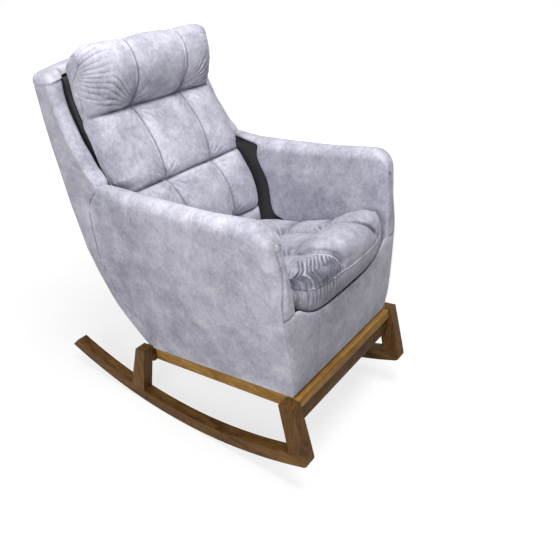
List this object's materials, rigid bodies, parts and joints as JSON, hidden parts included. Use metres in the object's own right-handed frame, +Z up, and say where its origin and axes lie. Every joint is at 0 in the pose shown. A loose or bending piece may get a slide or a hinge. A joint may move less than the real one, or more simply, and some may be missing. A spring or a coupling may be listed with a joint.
{
  "type": "rocking chair",
  "caption": "Upholstered armchair with wings, loose seat and back cushions, and a wooden base whose curved rockers let it swing back and forth.",
  "frame": {"origin": "on the floor, below the middle of the overall length and width", "axes": "+Z up, -Y to the front of the chair, -X to the sitter's right"},
  "size_m": [0.635, 0.9907, 1.096],
  "materials": {
    "velvet": "matte",
    "walnut": "satin",
    "golden_wood": "satin",
    "beech": "matte",
    "dark_lining": "matte",
    "webbing": "matte",
    "zinc": "satin"
  },
  "bodies": {
    "chair": {"arm_frame_left": "beech", "arm_frame_right": "beech", "arm_front_band_left": "velvet", "arm_front_band_right": "velvet", "arm_pad_left": "velvet", "arm_pad_right": "velvet", "back_board": "beech", "back_lower_rail": "beech", "back_post_left": "beech", "back_post_right": "beech", "back_top_cap": "velvet", "back_top_rail": "beech", "corner_block_front_left": "beech", "corner_block_front_right": "beech", "corner_block_rear_left": "beech", "corner_block_rear_right": "beech", "dust_cover": "dark_lining", "frame_bolt_front_left": "zinc", "frame_bolt_front_right": "zinc", "frame_bolt_rear_left": "zinc", "frame_bolt_rear_right": "zinc", "front_apron": "velvet", "front_cross_rail": "walnut", "front_dowel_left": "beech", "front_dowel_right": "beech", "front_post_left": "walnut", "front_post_right": "walnut", "front_seat_rail": "golden_wood", "inner_back_panel": "dark_lining", "outer_back_panel": "velvet", "rear_cross_rail": "walnut", "rear_dowel_left": "beech", "rear_dowel_right": "beech", "rear_post_left": "walnut", "rear_post_right": "walnut", "rocker_left": "walnut", "rocker_right": "walnut", "seat_deck": "dark_lining", "seat_frame_front": "beech", "seat_frame_left": "beech", "seat_frame_rear": "beech", "seat_frame_right": "beech", "seat_webbing_1": "webbing", "seat_webbing_2": "webbing", "seat_webbing_3": "webbing", "seat_webbing_4": "webbing", "side_panel_left": "velvet", "side_panel_right": "velvet", "side_rail_left": "golden_wood", "side_rail_right": "golden_wood", "side_strip_left": "velvet", "side_strip_right": "velvet", "wing_board_left": "beech", "wing_board_right": "beech", "wing_facing_left": "velvet", "wing_facing_right": "velvet", "wing_lining_left": "dark_lining", "wing_lining_right": "dark_lining"},
    "seat_cushion": {"seat_cushion": "velvet"},
    "back_cushion": {"back_cushion": "velvet"}
  },
  "joints": [
    {"name": "seat_cushion_lift", "type": "slide", "parent": "chair", "child": "seat_cushion", "axis": [0, -0.866, 0.5], "range_m": [0, 0.5]},
    {"name": "back_cushion_lift", "type": "slide", "parent": "chair", "child": "back_cushion", "axis": [0, 0.3684, 0.9297], "range_m": [0, 0.6]}
  ]
}
